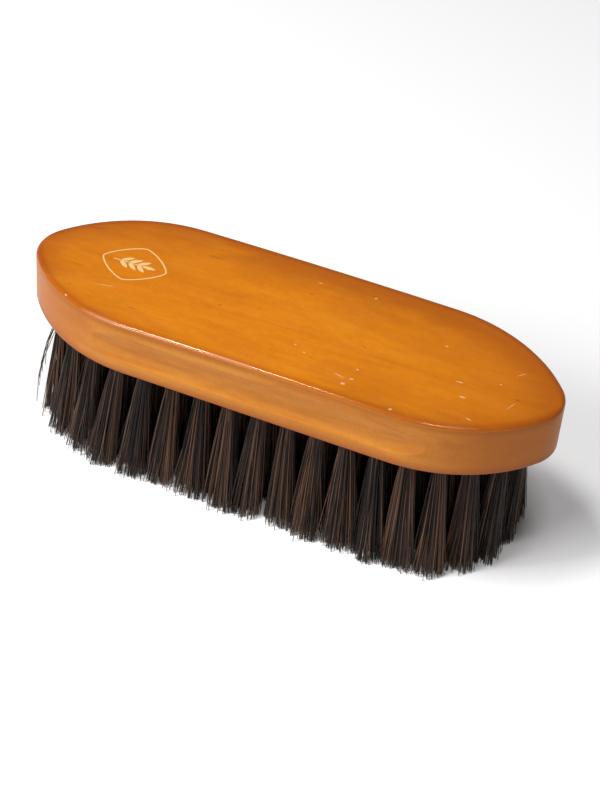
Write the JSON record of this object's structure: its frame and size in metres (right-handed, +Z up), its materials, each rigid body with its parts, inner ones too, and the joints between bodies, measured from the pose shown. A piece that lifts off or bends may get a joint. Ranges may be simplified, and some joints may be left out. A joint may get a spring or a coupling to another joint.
{
  "type": "clothes brush",
  "caption": "Wooden clothes brush: an oval varnished block with a finger groove along each side, set underneath with wire-stapled tufts of dark bristle.",
  "frame": {"origin": "under the middle of the back, on the plane of the trimmed bristle tips", "axes": "+X along the brush, +Y across it, +Z up from the bristle tips to the back's top"},
  "size_m": [0.205, 0.0732, 0.0695],
  "materials": {
    "varnished_wood": "glossy orange varnish over lengthwise grain, darker towards the edge",
    "bristle": "stiff natural bristle, black mixed with dark brown",
    "staple_wire": "plain drawn wire",
    "emblem_ink": "pale cream transfer print under varnish"
  },
  "bodies": {
    "root": {"wooden_back": "varnished_wood", "bristle_rank_01": "bristle", "bristle_rank_02": "bristle", "bristle_rank_03": "bristle", "bristle_rank_04": "bristle", "bristle_rank_05": "bristle", "bristle_rank_06": "bristle", "bristle_rank_07": "bristle", "bristle_rank_08": "bristle", "bristle_rank_09": "bristle", "bristle_rank_10": "bristle", "bristle_rank_11": "bristle", "bristle_rank_12": "bristle", "bristle_rank_13": "bristle", "bristle_rank_14": "bristle", "bristle_rank_15": "bristle", "bristle_rank_16": "bristle", "bristle_rank_17": "bristle", "bristle_rank_18": "bristle", "bristle_rank_19": "bristle", "staple_rank_01": "staple_wire", "staple_rank_02": "staple_wire", "staple_rank_03": "staple_wire", "staple_rank_04": "staple_wire", "staple_rank_05": "staple_wire", "staple_rank_06": "staple_wire", "staple_rank_07": "staple_wire", "staple_rank_08": "staple_wire", "staple_rank_09": "staple_wire", "staple_rank_10": "staple_wire", "staple_rank_11": "staple_wire", "staple_rank_12": "staple_wire", "staple_rank_13": "staple_wire", "staple_rank_14": "staple_wire", "staple_rank_15": "staple_wire", "staple_rank_16": "staple_wire", "staple_rank_17": "staple_wire", "staple_rank_18": "staple_wire", "staple_rank_19": "staple_wire"}
  },
  "joints": []
}
